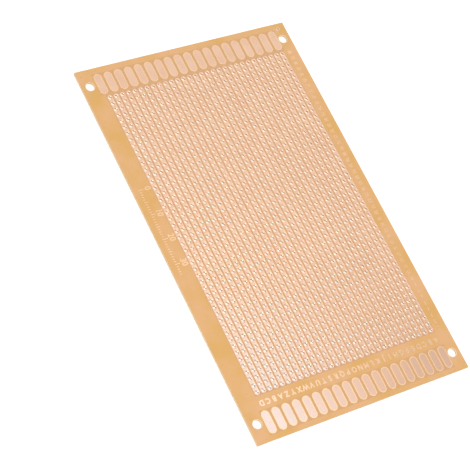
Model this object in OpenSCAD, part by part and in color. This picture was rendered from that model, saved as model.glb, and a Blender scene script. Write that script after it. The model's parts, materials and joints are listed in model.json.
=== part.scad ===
// Prototype board of punched phenolic paper laminate, with copper on one side.
// Copper strips run along the board under a field of component holes, and a row
// of oblong contacts closes each end. The board lies on its bare side, copper up.
// X runs across the board, Y along it and Z up. The origin is under its middle.

/* [Laminate] */
// Width of the board, across the strips
board_w = 89; // [60:0.5:160]
// Length of the board, along the strips
board_l = 149.5; // [80:0.5:250]
// Thickness of the laminate
board_t = 1.2; // [0.8:0.1:3.2]

/* [Component holes] */
// Pitch of the holes, both ways
pitch = 2.54; // [2:0.01:5.08]
// Diameter of a component hole
hole_d = 1.05; // [0.6:0.05:1.2]

/* [Strips] */
// Thickness of the copper foil
foil_t = 0.035; // [0.018:0.001:0.105]
// Gap between two strips, where they are widest
strip_gap = 0.44; // [0.2:0.02:0.6]
// How far each edge of a strip draws in between two holes
scallop = 0.1; // [0.04:0.01:0.15]
// Bare laminate between the left long edge and the first strip
strip_clear_left = 7.5; // [6.6:0.1:12]
// Least bare laminate between the last strip and the right long edge
strip_clear_right = 5.5; // [5.3:0.1:12]

/* [Contacts] */
// Pitch of the contacts
contact_pitch = 4.14; // [3:0.02:6]
// Gap between two contacts
contact_gap = 0.92; // [0.4:0.02:1.4]
// Length of a contact
contact_l = 8.55; // [6:0.05:12]
// Bare laminate between the far contacts and the far end
contact_clear_far = 2.6; // [1:0.1:4]
// Bare laminate between the near contacts and the near end
contact_clear_near = 2; // [1:0.1:4]
// Bare laminate between the left long edge and the first contact
contact_clear_left = 6; // [5.2:0.1:10]
// Least bare laminate between the last contact and the right long edge
contact_clear_right = 4.8; // [4:0.1:10]
// Gap between the far contacts and the strips
far_gap = 0.7; // [0.4:0.1:6]
// Least gap between the near contacts and the strips, where the column letters stand
letter_band = 5.3; // [2:0.1:10]

/* [Other holes] */
// Diameter of a mounting hole
mount_d = 3.2; // [2:0.1:4]
// Distance from a mounting hole's axis to the long edge
mount_inset_x = 3.3; // [2.5:0.1:3.6]
// Distance from a mounting hole's axis to the end of the board
mount_inset_y = 6.9; // [3:0.1:9]
// Diameter of the tooling hole in the far right corner
tooling_d = 1; // [0.5:0.1:1.5]
// Distance from the tooling hole's axis to the long edge
tooling_inset_x = 3.2; // [2:0.1:4]
// Distance from the tooling hole's axis to the far end
tooling_inset_y = 2.4; // [1.5:0.1:3]

/* [Hidden] */
$fn = 48;
laminate_colour = [0.80, 0.60, 0.34];
copper_colour = [0.90, 0.62, 0.46];

strip_w = pitch - strip_gap;
strip_x = -board_w / 2 + strip_clear_left + strip_w / 2;
columns = 1 + floor((board_w - strip_clear_left - strip_clear_right - strip_w) / pitch);

field_clear_far = contact_clear_far + contact_l + far_gap;
field_clear_near = contact_clear_near + contact_l + letter_band;
row_y = board_l / 2 - field_clear_far - strip_w / 2;
rows = 1 + floor((board_l - field_clear_far - field_clear_near - strip_w) / pitch);

contact_w = contact_pitch - contact_gap;
contact_x = -board_w / 2 + contact_clear_left + contact_w / 2;
contacts = 1 + floor((board_w - contact_clear_left - contact_clear_right - contact_w) / contact_pitch);
far_contact_y = board_l / 2 - contact_clear_far - contact_l / 2;
near_contact_y = -board_l / 2 + contact_clear_near + contact_l / 2;

// Laminate
module laminate() {
    color(laminate_colour)
        linear_extrude(board_t)
            difference() {
                square([board_w, board_l], center = true);
                for (i = [1 : columns]) at_holes(i) circle(d = hole_d);
                mounting_holes();
                tooling_hole();
            }
}

// The holes of one column, counted from the left, each at its place in the row
module at_holes(column) {
    for (row = [1 : rows])
        translate([strip_x + (column - 1) * pitch, row_y - (row - 1) * pitch])
            children();
}

module mounting_holes() {
    for (x = [-1, 1], y = [-1, 1])
        translate([x * (board_w / 2 - mount_inset_x), y * (board_l / 2 - mount_inset_y)])
            circle(d = mount_d);
}

module tooling_hole() {
    translate([board_w / 2 - tooling_inset_x, board_l / 2 - tooling_inset_y])
        circle(d = tooling_d);
}

// Copper foil, lying on the laminate
module foil() {
    color(copper_colour)
        translate([0, 0, board_t])
            linear_extrude(foil_t)
                children();
}

// One strip, as wide as its gap allows round a hole and drawn in between two holes
module strip(column) {
    waist = strip_w - 2 * scallop;
    reach = (rows - 1) * pitch;
    foil()
        difference() {
            union() {
                at_holes(column) circle(d = strip_w);
                translate([strip_x + (column - 1) * pitch - waist / 2, row_y - reach])
                    square([waist, reach]);
            }
            at_holes(column) circle(d = hole_d);
        }
}

// One row of contacts, cut where the mounting holes are punched through them
module contact_row(y) {
    foil()
        difference() {
            for (k = [0 : contacts - 1])
                translate([contact_x + k * contact_pitch, y]) contact();
            mounting_holes();
        }
}

module contact() {
    straight = contact_l - contact_w;
    square([contact_w, straight], center = true);
    for (end = [-1, 1])
        translate([0, end * straight / 2]) circle(d = contact_w);
}

laminate();
contact_row(far_contact_y);  // far_contacts
contact_row(near_contact_y);  // near_contacts
for (i = [1 : columns])
    strip(i);
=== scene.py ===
"""A prototype board: a punched phenolic paper sheet with copper strips and end contacts on its upper face."""

import json
import math

import bmesh
import bpy
import numpy as np
from mathutils import Matrix, Vector
from mathutils.geometry import delaunay_2d_cdt


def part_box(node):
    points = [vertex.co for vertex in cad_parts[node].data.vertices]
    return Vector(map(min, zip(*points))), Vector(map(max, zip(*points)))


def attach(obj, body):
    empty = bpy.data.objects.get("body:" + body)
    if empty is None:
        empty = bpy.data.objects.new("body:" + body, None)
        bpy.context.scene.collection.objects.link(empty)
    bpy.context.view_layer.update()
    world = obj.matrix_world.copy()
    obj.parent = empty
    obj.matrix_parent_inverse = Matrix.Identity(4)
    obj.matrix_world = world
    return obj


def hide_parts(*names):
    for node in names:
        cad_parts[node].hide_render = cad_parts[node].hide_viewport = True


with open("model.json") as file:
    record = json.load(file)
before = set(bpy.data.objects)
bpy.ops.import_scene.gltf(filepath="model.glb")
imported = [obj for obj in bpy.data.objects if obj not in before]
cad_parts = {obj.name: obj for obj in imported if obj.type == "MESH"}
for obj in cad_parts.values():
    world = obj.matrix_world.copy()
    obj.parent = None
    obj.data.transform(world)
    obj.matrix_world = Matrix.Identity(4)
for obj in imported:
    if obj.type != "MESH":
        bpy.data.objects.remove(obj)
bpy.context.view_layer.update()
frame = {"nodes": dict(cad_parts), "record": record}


# Punched laminate
# A sheet of phenolic paper laminate, sheared to size and punched from the copper face. The punch
# draws the rim of each hole down a little, and breaks it out a little wider at the bare face below.

MM = 0.001
HOLE_ROLL_DEPTH = 0.13 * MM
HOLE_ROLL_WIDTH = 0.24 * MM
BREAKOUT = 0.22 * MM
TOOLING_R = 0.5 * MM
TOOLING_INSET = (3.2 * MM, 2.4 * MM)
EDGE_BREAK = 0.08 * MM
SHEAR_STEP = 2.5 * MM
WELD = 0.004 * MM
BIG_AROUND = 48
CRISP = math.radians(40)

mounts = {mount["name"]: mount["dims"] for mount in frame["record"]["mounts"]}
hole_r = mounts["component_holes"]["hole_r_mm"] * MM
mount_r = mounts["mounting_holes"]["hole_r_mm"] * MM
mount_x = mounts["mounting_holes"]["spacing_x_mm"] * MM / 2
mount_y = mounts["mounting_holes"]["spacing_y_mm"] * MM / 2

board_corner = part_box("laminate")[1]
board_top = board_corner.z
strips = [name for name in frame["nodes"] if name.startswith("strip_")]
strips.sort(key=lambda name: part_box(name)[0].x)
strip_low, strip_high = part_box(strips[0])
foil_top = strip_high.z
strip_r = (strip_high.x - strip_low.x) / 2
columns = len(strips)
strip_x = np.linspace(strip_low.x + strip_r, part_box(strips[-1])[1].x - strip_r, columns)
pitch = strip_x[1] - strip_x[0]
half_pitch = pitch / 2
rows = 1 + round((strip_high.y - strip_low.y - 2 * strip_r) / pitch)
row_y = np.linspace(strip_high.y - strip_r, strip_low.y + strip_r, rows)

SCALLOP = 0.1 * MM
waist = strip_r - SCALLOP
bulge_end = math.acos(waist / strip_r)
cell_corner = math.atan2(half_pitch, waist)
quarter = np.array([0, bulge_end, cell_corner, (cell_corner + math.pi / 2) / 2])
way_angle = np.concatenate([quarter, [math.pi / 2], math.pi - quarter[:0:-1]])
way_angle = np.concatenate([way_angle, math.pi + way_angle])
hole_ways = np.stack([np.cos(way_angle), np.sin(way_angle)], axis=1)


def ring(flat, height):
    """A closed ring: points (..., 2) at one height, or at a height for each."""
    level = np.broadcast_to(height, flat.shape[:-1])
    return np.concatenate([flat, level[..., None]], axis=-1)


def bands(rings, keep=None):
    """Quads that join each ring to the next, as points and quads. rings is (copies, rings, around, 3), and the
    last point round a ring joins its first. keep, where given, says which (copies, rings - 1, around) stay."""
    index = np.arange(rings[..., 0].size).reshape(rings.shape[:3])
    turned = np.roll(index, -1, axis=2)
    quads = np.stack([index[:, :-1], turned[:, :-1], turned[:, 1:], index[:, 1:]], axis=-1)
    quads = quads.reshape(-1, 4) if keep is None else quads[keep]
    return rings.reshape(-1, 3), quads


def piece(name, parts, finish, node=None, marks_on="FACE"):
    """An object at the origin from parts, a list of (points, faces, marks). Points that meet are welded, and
    edges over the angle CRISP stay sharp. marks are numbers by name, on faces or points, for the finish."""
    starts = np.cumsum([0] + [len(xyz) for xyz, _, _ in parts])
    mesh = bpy.data.meshes.new(name)
    mesh.from_pydata(
        np.concatenate([xyz for xyz, _, _ in parts]).tolist(),
        [],
        [face for (_, faces, _), start in zip(parts, starts) for face in (faces + start).tolist()],
    )
    for mark in sorted({mark for _, _, marks in parts for mark in marks}):
        values = [
            np.broadcast_to(marks.get(mark, 0.0), len(faces) if marks_on == "FACE" else len(xyz))
            for xyz, faces, marks in parts
        ]
        layer = mesh.attributes.new(mark, "FLOAT", marks_on)
        layer.data.foreach_set("value", np.concatenate(values).astype(float))
    work = bmesh.new()
    work.from_mesh(mesh)
    bmesh.ops.remove_doubles(work, verts=work.verts, dist=WELD)
    work.to_mesh(mesh)
    work.free()
    mesh.set_sharp_from_angle(angle=CRISP)
    mesh.materials.append(finish)
    made = bpy.data.objects.new(name, mesh)
    bpy.context.scene.collection.objects.link(made)
    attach(made, "root")
    if node:
        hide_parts(node)
    return made


def circle(centre, radius, around):
    """Points round a centre: centre + radius (cos a, sin a), with a going round once in equal steps."""
    angle = 2 * math.pi * np.arange(around) / around
    return np.asarray(centre) + radius * np.stack([np.cos(angle), np.sin(angle)], axis=1)


def oblong(half_x, half_y, step):
    """A rectangle's outline round the origin, from its near left corner, with points at most a step apart."""
    along_x = np.linspace(-half_x, half_x, 1 + math.ceil(2 * half_x / step))[:-1]
    along_y = np.linspace(-half_y, half_y, 1 + math.ceil(2 * half_y / step))[:-1]
    near = np.stack([along_x, np.full_like(along_x, -half_y)], axis=1)
    right = np.stack([np.full_like(along_y, half_x), along_y], axis=1)
    return np.concatenate([near, right, -near, -right])


cell_square = hole_ways / np.abs(hole_ways).max(axis=1, keepdims=True)
at_corner = np.isclose(np.abs(way_angle % math.pi - math.pi / 2), math.pi / 2 - cell_corner)
cell_square[at_corner] = np.sign(hole_ways[at_corner])
cell_square *= half_pitch
centres = np.stack(np.meshgrid(strip_x, row_y, indexing="ij"), axis=-1).reshape(-1, 1, 2)
cell_rings = np.stack(
    [
        ring(centres + cell_square, board_top),
        ring(centres + (hole_r + HOLE_ROLL_WIDTH) * hole_ways, board_top),
        ring(centres + hole_r * hole_ways, board_top - HOLE_ROLL_DEPTH),
        ring(centres + (hole_r + BREAKOUT) * hole_ways, 0.0),
        ring(centres + cell_square, 0.0),
    ],
    axis=1,
)
cell_points, cell_quads = bands(cell_rings)
is_wall = np.tile(np.repeat([False, True, True, False], len(hole_ways)), len(centres))
is_top = np.tile(np.repeat([True, False, False, False], len(hole_ways)), len(centres))
parts = [
    # groove marks the bare tops between the strips, which take a painted shade.
    (cell_points, cell_quads[is_top], {"groove": 1}),
    (cell_points, cell_quads[is_wall], {"cut": 1}),
    (cell_points, cell_quads[~is_top & ~is_wall], {}),
]

side_steps = cell_square[np.isclose(cell_square[:, 0], half_pitch), 1]
side_steps = np.sort(side_steps)[:-1]
near_steps = np.sort(cell_square[np.isclose(cell_square[:, 1], -half_pitch), 0])[:-1]
along_x = (strip_x[:, None] + near_steps).reshape(-1)
along_y = (row_y[::-1, None] + side_steps).reshape(-1)
field_x = strip_x[0] - half_pitch, strip_x[-1] + half_pitch
field_y = row_y[-1] - half_pitch, row_y[0] + half_pitch
field = np.concatenate(
    [
        np.stack([along_x, np.full_like(along_x, field_y[0])], axis=1),
        np.stack([np.full_like(along_y, field_x[1]), along_y], axis=1),
        np.stack([sum(field_x) - along_x, np.full_like(along_x, field_y[1])], axis=1),
        np.stack([np.full_like(along_y, field_x[0]), sum(field_y) - along_y], axis=1),
    ]
)
big_holes = [((sx * mount_x, sy * mount_y), mount_r) for sx in (-1, 1) for sy in (-1, 1)]
big_holes.append(((board_corner.x - TOOLING_INSET[0], board_corner.y - TOOLING_INSET[1]), TOOLING_R))


def margin(height, grow, up):
    """The flat face round the field of holes: a Delaunay net between the outline, the field and the larger holes."""
    outline = oblong(board_corner.x - EDGE_BREAK, board_corner.y - EDGE_BREAK, SHEAR_STEP)
    holes = [circle(centre, radius + grow, BIG_AROUND) for centre, radius in big_holes]
    loops = [outline, field, *holes]
    starts = np.cumsum([0] + [len(loop) for loop in loops])
    edges = [
        np.stack([np.arange(a, b), np.roll(np.arange(a, b), -1)], axis=1) for a, b in zip(starts[:-1], starts[1:])
    ]
    flat = [Vector(p) for p in np.concatenate(loops)]
    net = delaunay_2d_cdt(flat, np.concatenate(edges).tolist(), [], 1, 1e-9)
    verts, tris = np.array([tuple(v) for v in net[0]]), np.array(net[2])
    middle = verts[tris].mean(axis=1)
    inside = (middle > field.min(axis=0)).all(axis=1) & (middle < field.max(axis=0)).all(axis=1)
    for (centre, radius), hole in zip(big_holes, holes):
        inside |= np.linalg.norm(middle - centre, axis=1) < radius + grow
    a, b, c = np.moveaxis(verts[tris[~inside]], 1, 0)
    area = (b[:, 0] - a[:, 0]) * (c[:, 1] - a[:, 1]) - (b[:, 1] - a[:, 1]) * (c[:, 0] - a[:, 0])
    tris = tris[~inside]
    turned = tris[:, ::-1]
    return ring(verts, height), np.where(((area > 0) == up)[:, None], tris, turned), {}


parts += [margin(board_top, HOLE_ROLL_WIDTH, True), margin(0.0, BREAKOUT, False)]
for centre, radius in big_holes:
    wall = np.stack(
        [
            ring(circle(centre, radius + HOLE_ROLL_WIDTH, BIG_AROUND), board_top),
            ring(circle(centre, radius, BIG_AROUND), board_top - HOLE_ROLL_DEPTH),
            ring(circle(centre, radius + BREAKOUT, BIG_AROUND), 0.0),
        ]
    )
    parts.append((*bands(wall[None]), {"cut": 1}))


def sheared(inset, height):
    """One ring of the sheared edge: the outline drawn in by inset, with the points of the whole outline."""
    whole = oblong(board_corner.x, board_corner.y, SHEAR_STEP)
    share = np.array([board_corner.x - inset, board_corner.y - inset]) / np.array([board_corner.x, board_corner.y])
    return ring(whole * share, height)


shear_rings = np.stack(
    [
        sheared(EDGE_BREAK, 0.0),
        sheared(0.0, EDGE_BREAK),
        sheared(0.0, board_top - EDGE_BREAK),
        sheared(EDGE_BREAK, board_top),
    ]
)
parts.append((*bands(shear_rings[None, :3]), {"cut": 1}))
parts.append((*bands(shear_rings[None, 2:]), {}))


class Wire:
    """An output socket in a material. Arithmetic on it adds Math nodes."""

    def __init__(self, finish, socket):
        self.finish, self.socket = finish, socket

    def math(self, operation, *values):
        return self.finish.node("Math", {"operation": operation}, dict(enumerate(values)))

    def sibling(self, out):
        """Another output of the same node."""
        return Wire(self.finish, self.socket.node.outputs[out])

    def __add__(self, other):
        return self.math("ADD", self, other)

    def __radd__(self, other):
        return self.math("ADD", other, self)

    def __sub__(self, other):
        return self.math("SUBTRACT", self, other)

    def __rsub__(self, other):
        return self.math("SUBTRACT", other, self)

    def __mul__(self, other):
        return self.math("MULTIPLY", self, other)

    def __rmul__(self, other):
        return self.math("MULTIPLY", other, self)

    def between(self, low, high):
        """0 below low, 1 above high and straight in between."""
        return self.finish.node("MapRange", {}, {"Value": self, "From Min": low, "From Max": high})


class Finish:
    """The nodes of a material, which read the object's own coordinates, or those of the surround."""

    def __init__(self, owner):
        owner.use_nodes = True
        self.owner, self.tree = owner, owner.node_tree
        self.tree.nodes.clear()

    def node(self, kind, settings, sockets, out=0):
        """Adds one shader node, sets it up, fills its sockets with values or wires, and returns a wire from it."""
        made = self.tree.nodes.new("ShaderNode" + kind)
        for key, value in settings.items():
            setattr(made, key, value)
        for key, value in sockets.items():
            if isinstance(value, Wire):
                self.tree.links.new(value.socket, made.inputs[key])
            else:
                made.inputs[key].default_value = value
        return Wire(self, made.outputs[out]) if made.outputs else None

    def noise(self, scale, stretch=(1, 1, 1), detail=3.0):
        """Noise with scale waves to a metre, drawn out along an axis whose stretch is under 1."""
        here = self.node("TexCoord", {}, {}, "Object")
        place = self.node("Mapping", {}, {"Vector": here, "Scale": stretch})
        return self.node("TexNoise", {}, {"Vector": place, "Scale": scale, "Detail": detail})

    def mix(self, share, one, other):
        """Colour one where share is 0 and colour other where it is 1."""
        return self.node("Mix", {"data_type": "RGBA"}, {0: share, 6: one, 7: other}, 2)

    def bump(self, height, strength, distance):
        return self.node("Bump", {}, {"Height": height, "Strength": strength, "Distance": distance})

    def surface(self, fixed, varying):
        """Closes the material: fixed values on the shader's sockets, and wires for what changes over the surface."""
        shader = self.node("BsdfPrincipled", {}, {**fixed, **varying})
        self.node("OutputMaterial", {}, {"Surface": shader})
        return self.owner


LAMINATE_WARM = (0.765, 0.425, 0.120, 1)
LAMINATE_PALE = (0.825, 0.465, 0.215, 1)
FIBRE_DARK = (0.560, 0.270, 0.075, 1)
# Painted shade: the bare laminate in the narrow grooves between the strips is a darker brown, as if in the shade of
# the foil on each side.
GROOVE_PAINTED_SHADE = (0.670, 0.370, 0.215, 1)
# Painted shade: the laminate between the end contacts is darker and redder, fading out half a millimetre beyond each
# row.
CONTACT_ROW_PAINTED_SHADE = (0.710, 0.390, 0.180, 1)
CONTACT_SHADE_FADE = 0.5 * MM
CUT_FACE = (0.900, 0.680, 0.450, 1)
sheet = Finish(bpy.data.materials.new("laminate_skin"))
mottle = sheet.noise(90, detail=4.0).between(0.35, 0.65)
fibres = sheet.noise(2600, stretch=(1, 0.3, 1), detail=2.0)
specks = sheet.noise(1500, detail=1.0).between(0.70, 0.78)
is_cut = sheet.node("Attribute", {"attribute_name": "cut"}, {}, "Fac")
in_groove = sheet.node("Attribute", {"attribute_name": "groove"}, {}, "Fac")
here = sheet.node("SeparateXYZ", {}, {"Vector": sheet.node("TexCoord", {}, {}, "Object")})
# Painted shade over each row of end contacts: 1 within the row, falling to 0 half a millimetre outside it.
contact_row_shade = 0
for low, high in (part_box("far_contacts"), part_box("near_contacts")):
    across = here.between(low.x - CONTACT_SHADE_FADE, low.x) * here.between(high.x + CONTACT_SHADE_FADE, high.x)
    along = here.sibling("Y")
    along = along.between(low.y - CONTACT_SHADE_FADE, low.y) * along.between(high.y + CONTACT_SHADE_FADE, high.y)
    contact_row_shade = contact_row_shade + across * along
skin = sheet.mix(mottle, LAMINATE_WARM, LAMINATE_PALE)
skin = sheet.mix(contact_row_shade, skin, CONTACT_ROW_PAINTED_SHADE)
# Painted shade in the grooves between the strips.
skin = sheet.mix(in_groove, skin, GROOVE_PAINTED_SHADE)
skin = sheet.mix(specks * 0.5, skin, FIBRE_DARK)
skin = sheet.mix(fibres.between(0.45, 0.8) * 0.12, skin, LAMINATE_PALE)
sheet_finish = sheet.surface(
    {"Coat Weight": 0.15, "Coat Roughness": 0.2},
    {
        "Base Color": sheet.mix(is_cut, skin, CUT_FACE),
        "Roughness": 0.42 + fibres * 0.12 + is_cut * 0.3,
        "Normal": sheet.bump(fibres, 0.12, 0.02 * MM),
    },
)
piece("laminate_sheet", parts, sheet_finish, "laminate")


# Copper strips
# Strips of foil, one to each column of holes, etched from the sheet and bonded to it. A strip is
# widest round a hole. The punch has rolled the foil down into the hole, where its rim shines.

ROLL_PROFILE = np.array([(0.30, 0.0), (0.24, 0.012), (0.10, 0.063), (0.03, 0.097), (0.0, 0.12)]) * MM
ETCH = 0.03 * MM

BRIGHT_COPPER = (0.870, 0.550, 0.385, 1)
PALE_COPPER = (0.880, 0.600, 0.440, 1)
# Painted sheen and painted shade: towards the near end the foil turns a pale, whitish copper on the left, a painted
# reflection of a soft lamp, and a duller, darker copper on the right, where that reflection fades.
SHEEN_PAINTED_COPPER = (0.760, 0.615, 0.560, 1)
SHADE_PAINTED_COPPER = (0.750, 0.480, 0.345, 1)
# Painted highlight: a lighter, more orange copper along the etched edges of strips and contacts, and half of it over
# the letters, numbers and scale, as if the edges caught the light.
RIM_PAINTED_HIGHLIGHT = (0.950, 0.650, 0.370, 1)
DULL_COPPER = (0.760, 0.460, 0.310, 1)
SHEEN_TO_SHADE_X = (-30 * MM, 25 * MM)
PAINTED_LIGHT_END_Y = (-15 * MM, -65 * MM)
foil = Finish(bpy.data.materials.new("copper_foil"))
tarnish = foil.noise(160, detail=4.0)
rolling = foil.noise(4200, stretch=(1, 0.08, 1), detail=2.0)
spots = foil.noise(700).between(0.62, 0.75)
rim_highlight = foil.node("Attribute", {"attribute_name": "rim"}, {}, "Fac")
here = foil.node("SeparateXYZ", {}, {"Vector": foil.node("TexCoord", {}, {}, "Object")})
rightwards = here.between(*SHEEN_TO_SHADE_X)
nearwards = here.sibling("Y").between(*PAINTED_LIGHT_END_Y)
foil_colour = foil.mix(tarnish.between(0.35, 0.7), BRIGHT_COPPER, PALE_COPPER)
# Painted sheen towards the near left, painted shade towards the near right.
foil_colour = foil.mix(nearwards * (1 - rightwards), foil_colour, SHEEN_PAINTED_COPPER)
foil_colour = foil.mix(nearwards * rightwards, foil_colour, SHADE_PAINTED_COPPER)
# Painted highlight along the rims.
foil_colour = foil.mix(rim_highlight, foil_colour, RIM_PAINTED_HIGHLIGHT)
foil_finish = foil.surface(
    {"Metallic": 1.0, "Coat Weight": 0.25, "Coat Roughness": 0.12},
    {
        "Base Color": foil.mix(spots * 0.35, foil_colour, DULL_COPPER),
        "Roughness": 0.22 + tarnish * 0.12,
        "Normal": foil.bump(rolling, 0.15, 0.01 * MM),
    },
)

cos_way, sin_way = np.abs(hole_ways.T)
to_pitch_line = half_pitch / np.maximum(sin_way, 1e-9)
to_waist = waist / np.maximum(cos_way, 1e-9)
on_pitch_line = to_pitch_line < to_waist * (1 - 1e-9)
reach = np.where(on_pitch_line, to_pitch_line, np.where(cos_way * strip_r >= waist * (1 - 1e-9), strip_r, to_waist))
row_number = np.arange(rows)[:, None]
round_end = ((hole_ways[:, 1] > 1e-9) & (row_number == 0)) | ((hole_ways[:, 1] < -1e-9) & (row_number == rows - 1))
edge_flat = np.where(round_end[..., None], strip_r * hole_ways, reach[:, None] * hole_ways)
etched = round_end | ~on_pitch_line
inwards = np.where(round_end[..., None], hole_ways, np.sign(hole_ways) * [1, 0])
upper_flat = edge_flat - ETCH * inwards * etched[..., None]
roll_rings = [
    ring(np.broadcast_to((hole_r + out) * hole_ways, edge_flat.shape), foil_top - down) for out, down in ROLL_PROFILE
]
under_edge = ring(edge_flat, board_top)
under_roll = ring(np.broadcast_to((hole_r + HOLE_ROLL_WIDTH) * hole_ways, edge_flat.shape), board_top)
foil_rings = np.stack([under_edge, ring(upper_flat, foil_top), *roll_rings, under_roll, under_edge], axis=1)
keep = np.ones((rows, foil_rings.shape[1] - 1, len(hole_ways)), bool)
keep[:, 0] = etched & np.roll(etched, -1, axis=1)
# rim marks the points on the etched edges, where the foil takes the painted rim highlight.
rim = np.zeros(foil_rings.shape[:3])
rim[:, :2] = etched[:, None]
along = ring(np.stack([np.zeros(rows), row_y], axis=1), 0.0)
for name, x in zip(strips, strip_x):
    place = along + np.array([x, 0, 0])
    points, quads = bands(foil_rings + place[:, None, None], keep)
    piece("copper_" + name, [(points, quads, {"rim": rim.reshape(-1)})], foil_finish, name, "POINT")


# End contacts
# Oblong contacts of the same foil in a row across each end, where a wire or a plug is soldered.
# They are etched with the strips.

CONTACT_PITCH = 4.14 * MM
CONTACT_RIM = (0.26 * MM, 0.44 * MM)
END_AROUND = 13


def slot_shape(width, length):
    """A straight slot's outline round the origin: half a circle at each end, joined by straight sides."""
    angle = np.linspace(0, math.pi, END_AROUND)
    far = width / 2 * np.stack([np.cos(angle), np.sin(angle)], axis=1) + [0, (length - width) / 2]
    return np.concatenate([far, -far])


for node in ("far_contacts", "near_contacts"):
    low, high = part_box(node)
    count = 1 + int((high.x - low.x) // CONTACT_PITCH)
    width = high.x - low.x - (count - 1) * CONTACT_PITCH
    x = low.x + width / 2 + CONTACT_PITCH * np.arange(count)
    middle = np.stack([x, np.full(count, (low.y + high.y) / 2)], axis=1)[:, None]
    contact_rings = [
        ring(middle + slot_shape(width - 2 * inwards, high.y - low.y - 2 * inwards), height)
        for inwards, height in zip((0, ETCH, *CONTACT_RIM), (board_top, foil_top, foil_top, foil_top))
    ]
    points, quads = bands(np.stack(contact_rings, axis=1))
    index = np.arange(len(points)).reshape(count, len(contact_rings), -1)
    # rim marks the outer rings of each contact for the painted rim highlight.
    marks = {"rim": np.broadcast_to([[1], [1], [1], [0]], index.shape).reshape(-1)}
    tops_and_undersides = np.concatenate([index[:, -1], index[:, 0, ::-1]])
    parts = [(points, quads, marks), (points, tops_and_undersides, marks)]
    piece("copper_" + node, parts, foil_finish, node, "POINT")


# Index letters and numbers
# Letters at the columns and numbers beside the rows, etched in the same foil. They are read from
# the far end of the board. The letters run from A at the right end, and start again after Z.

LETTER_CAP = 2.0 * MM
LETTER_Y = -61.5 * MM
LETTER_SHIFT = 0.2 * MM
LETTER_BOLD = 0.11 * MM
NUMBER_CAP = 1.4 * MM
NUMBER_X = 41.1 * MM
NUMBER_BOLD = 0.05 * MM
FONT_CAP = 0.70
SLIVER = 1e-12
WORD_NARROW = 0.85
ALPHABET = "ABCDEFGHIJKLMNOPQRSTUVWXYZ"


def open_sides(tris):
    """The sides that a single triangle has, each in its own triangle's order."""
    sides = np.concatenate([tris[:, [0, 1]], tris[:, [1, 2]], tris[:, [2, 0]]])
    first, uses = np.unique(np.sort(sides, axis=1), axis=0, return_index=True, return_counts=True)[1:]
    return sides[first[uses == 1]]


def within(points, sides):
    """Which points lie inside an outline, given as sides (count, 2 ends, 2). They are those from which a line
    to the right crosses an odd number of sides."""
    (ax, ay), (bx, by) = sides[:, 0].T, sides[:, 1].T
    x, y = points.T[:, :, None]
    past_y = (ay > y) != (by > y)
    crossing = ax + (y - ay) * (bx - ax) / np.where(ay == by, 1, by - ay)
    return (past_y & (crossing > x)).sum(axis=1) % 2 == 1


def etched_words(name, words, cap, degrees, bolder, around):
    """One piece of foil lettering. words holds the text and the middle of each word. cap is the height of a
    capital, and degrees turns each word about its middle. Its strokes' edges move out by bolder: the word is
    laid down around times, moved that far each way round. A Delaunay net over all of them finds the outline
    of what they cover, and a second one fills it. Walls stand on the open sides."""
    parts = []
    ways_out = circle((0, 0), bolder, around)
    for text, (x, y) in words:
        curve = bpy.data.curves.new("word", "FONT")
        curve.body, curve.size = text, cap / FONT_CAP
        curve.align_x, curve.align_y = "CENTER", "CENTER"
        curve.fill_mode, curve.resolution_u = "FRONT", 3
        word = bpy.data.objects.new("word", curve)
        bpy.context.scene.collection.objects.link(word)
        graph = bpy.context.evaluated_depsgraph_get()
        mesh = bpy.data.meshes.new_from_object(word.evaluated_get(graph))
        mesh.transform(Matrix.Diagonal((WORD_NARROW, 1, 1, 1)))
        mesh.transform(Matrix.Rotation(math.radians(degrees), 4, "Z"))
        mesh.transform(Matrix.Translation((x, y, 0)))
        thin = np.array([vertex.co.xy for vertex in mesh.vertices])
        strokes = np.array([tuple(face.vertices) for face in mesh.polygons if face.area > SLIVER])
        bold =[Vector(p) for p in (thin + ways_out[:, None]).reshape(-1, 2)]
        strokes = (strokes + len(thin) * np.arange(around)[:, None, None]).reshape(-1, 3)
        net = delaunay_2d_cdt(bold, [], strokes.tolist(), 1, 1e-9)
        covered = np.array([tri for tri, covered_by in zip(net[2], net[5]) if covered_by])
        used, outline = np.unique(open_sides(covered), return_inverse=True)
        outline_points, outline = [net[0][i] for i in used], outline.reshape(-1, 2)
        net = delaunay_2d_cdt(outline_points, outline.tolist(), [], 1, 1e-9)
        flat, tris = np.array([tuple(v) for v in net[0]]), np.array(net[2])
        tris = tris[within(flat[tris].mean(axis=1), np.array([tuple(v) for v in outline_points])[outline])]
        a, b = open_sides(tris).T
        points = np.concatenate([ring(flat, foil_top), ring(flat, board_top)])
        under = len(flat)
        # The words take half the painted rim highlight.
        parts.append((points, np.concatenate([tris, tris[:, ::-1] + under]), {"rim": 0.5}))
        parts.append((points, np.stack([a + under, b + under, b, a], axis=1), {"rim": 0.5}))
        bpy.data.objects.remove(word)
    return piece(name, parts, foil_finish)


letters = [ALPHABET[(columns - 1 - i) % len(ALPHABET)] for i in range(columns)]
lettered = [(letter, (x - LETTER_SHIFT, LETTER_Y)) for letter, x in zip(letters, strip_x)]
etched_words("column_letters", lettered, LETTER_CAP, 180, LETTER_BOLD, 8)
numbered = [(str(rows - j), (NUMBER_X, y)) for j, y in enumerate(row_y)]
etched_words("row_numbers", numbered, NUMBER_CAP, 180, NUMBER_BOLD, 4)


# Margin scale
# A plain scale of millimetres in the left margin, etched in the same foil, with a number at every
# tenth millimetre. It is read from the long edge.

SCALE_X = -42.3 * MM
SCALE_FAR_Y = 24.4 * MM
SCALE_LENGTH = 34
TICK_W = 0.30 * MM
SHORT_TICK, FIFTH_TICK, TENTH_TICK = 0.9 * MM, 1.4 * MM, 2.0 * MM
SCALE_CAP = 2.4 * MM
SCALE_BOLD = 0.08 * MM
SCALE_TO_NUMBER = 1.5 * MM

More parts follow.
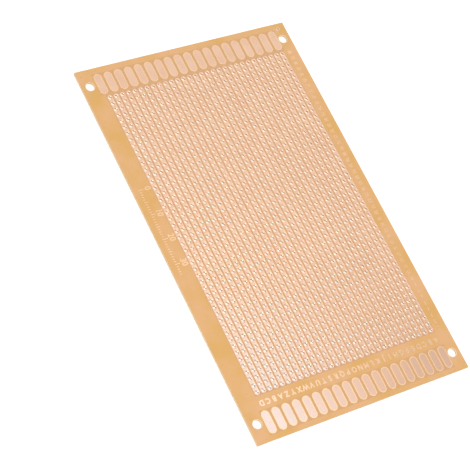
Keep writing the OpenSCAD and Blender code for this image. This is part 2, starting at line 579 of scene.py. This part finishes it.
step = np.arange(SCALE_LENGTH + 1)
tick_l = np.where(step % 10 == 0, TENTH_TICK, np.where(step % 5 == 0, FIFTH_TICK, SHORT_TICK))
bar = oblong(0.5, 0.5, 1.0)
tick_middle = np.stack([SCALE_X + tick_l / 2, SCALE_FAR_Y - step * MM], axis=1)
tick_flat = tick_middle[:, None] + bar * np.stack([tick_l, np.full_like(tick_l, TICK_W)], axis=1)[:, None]
tick_rings = np.stack([ring(tick_flat, board_top), ring(tick_flat, foil_top)], axis=1)
points, quads = bands(tick_rings)
index = np.arange(len(points)).reshape(len(step), 2, -1)
tick_faces = np.concatenate([quads, index[:, 1], index[:, 0, ::-1]])
# The ticks take half the painted rim highlight.
piece("scale_ticks", [(points, tick_faces, {"rim": 0.5})], foil_finish)
number_x = SCALE_X + TENTH_TICK + SCALE_TO_NUMBER
scale_numbers = [(str(n), (number_x, SCALE_FAR_Y - n * MM)) for n in step[::10]]
etched_words("scale_numbers", scale_numbers, SCALE_CAP, -90, SCALE_BOLD, 6)


# Floor, light and camera
# A pale floor that keeps the board's shadow, a pale surround, a long soft lamp behind the board that
# the rims of the holes mirror, and a camera that is far away, long and turned on its axis.

FLOOR_HALF = 4.0
FLOOR_DROP = 0.02 * MM
FLOOR_LIFT = 0.45
FLOOR_GREY = (0.8, 0.8, 0.8, 1)
ground = Finish(bpy.data.materials.new("floor"))
seen = ground.node("LightPath", {}, {}, "Is Camera Ray")
mirrored = ground.node("LightPath", {}, {}, "Is Glossy Ray")
paper = ground.node("BsdfDiffuse", {}, {"Color": FLOOR_GREY})
lift = ground.node("Emission", {}, {"Strength": (seen + mirrored) * FLOOR_LIFT})
ground.node("OutputMaterial", {}, {"Surface": ground.node("AddShader", {}, {0: paper, 1: lift})})
floor_mesh = bpy.data.meshes.new("floor")
floor_mesh.from_pydata(ring(oblong(FLOOR_HALF, FLOOR_HALF, 2 * FLOOR_HALF), -FLOOR_DROP).tolist(), [], [range(4)])
floor_mesh.materials.append(ground.owner)
floor = bpy.data.objects.new("floor", floor_mesh)
bpy.context.scene.collection.objects.link(floor)

SURROUND = 0.51
MIRRORED_SURROUND = 0.96
DIM_WAY = (0.70, 0.10, 0.70)
DIM_SHARE = 0.22
bpy.context.scene.world = bpy.data.worlds.new("surround")
sky = Finish(bpy.context.scene.world)
seen = sky.node("LightPath", {}, {}, "Is Camera Ray")
mirrored = sky.node("LightPath", {}, {}, "Is Glossy Ray")
way = sky.node("TexCoord", {}, {}, "Generated")
near_dim = sky.node("VectorMath", {"operation": "DOT_PRODUCT"}, {0: way, 1: DIM_WAY}, "Value").between(0.90, 0.99)
mirrored_light = MIRRORED_SURROUND - near_dim * DIM_SHARE
strength = SURROUND + seen * (1 - SURROUND) + mirrored * (mirrored_light - SURROUND)
sky.node("OutputWorld", {}, {"Surface": sky.node("Background", {}, {"Color": (1, 1, 1, 1), "Strength": strength})})


def soft_lamp(name, place, width, height, power):
    """An oblong lamp that faces the middle of the board."""
    data = bpy.data.lights.new(name, "AREA")
    data.shape, data.size, data.size_y, data.energy = "RECTANGLE", width, height, power
    lamp = bpy.data.objects.new(name, data)
    bpy.context.scene.collection.objects.link(lamp)
    lamp.matrix_world = Matrix.Translation(place) @ (-place).to_track_quat("-Z", "Y").to_matrix().to_4x4()


soft_lamp("lamp_behind", Vector((0.85, 0.54, 0.30)), 1.1, 0.5, 2.5)
soft_lamp("lamp_overhead", Vector((0.38, 0.13, 1.0)), 0.34, 0.34, 0.30)
soft_lamp("lamp_front", Vector((-0.62, -0.40, 1.07)), 0.4, 0.4, 8.0)

AIM = Vector((-15.97, -1.67, 1.24)) * MM
HEADING = math.radians(57.399)
TILT = math.radians(55.604)
ROLL = math.radians(35.1985)
DISTANCE = 629.53 * MM
FOCAL_PIXELS = 1803.4
IMAGE_PIXELS = 470
SENSOR = 36.0
forward = Vector((math.cos(TILT) * math.sin(HEADING), math.cos(TILT) * math.cos(HEADING), -math.sin(TILT)))
level = Vector((math.cos(HEADING), -math.sin(HEADING), 0))
upright = level.cross(forward)
right = math.cos(ROLL) * level + math.sin(ROLL) * upright
up = math.cos(ROLL) * upright - math.sin(ROLL) * level
camera_data = bpy.data.cameras.new("camera")
camera_data.sensor_width = SENSOR
camera_data.lens = SENSOR * FOCAL_PIXELS / IMAGE_PIXELS
camera_data.clip_start = 0.01
camera = bpy.data.objects.new("camera", camera_data)
bpy.context.scene.collection.objects.link(camera)
turn = Matrix((right, up, -forward)).transposed()
camera.matrix_world = Matrix.Translation(AIM - DISTANCE * forward) @ turn.to_4x4()
bpy.context.scene.camera = camera
bpy.context.scene.view_settings.view_transform = "Standard"
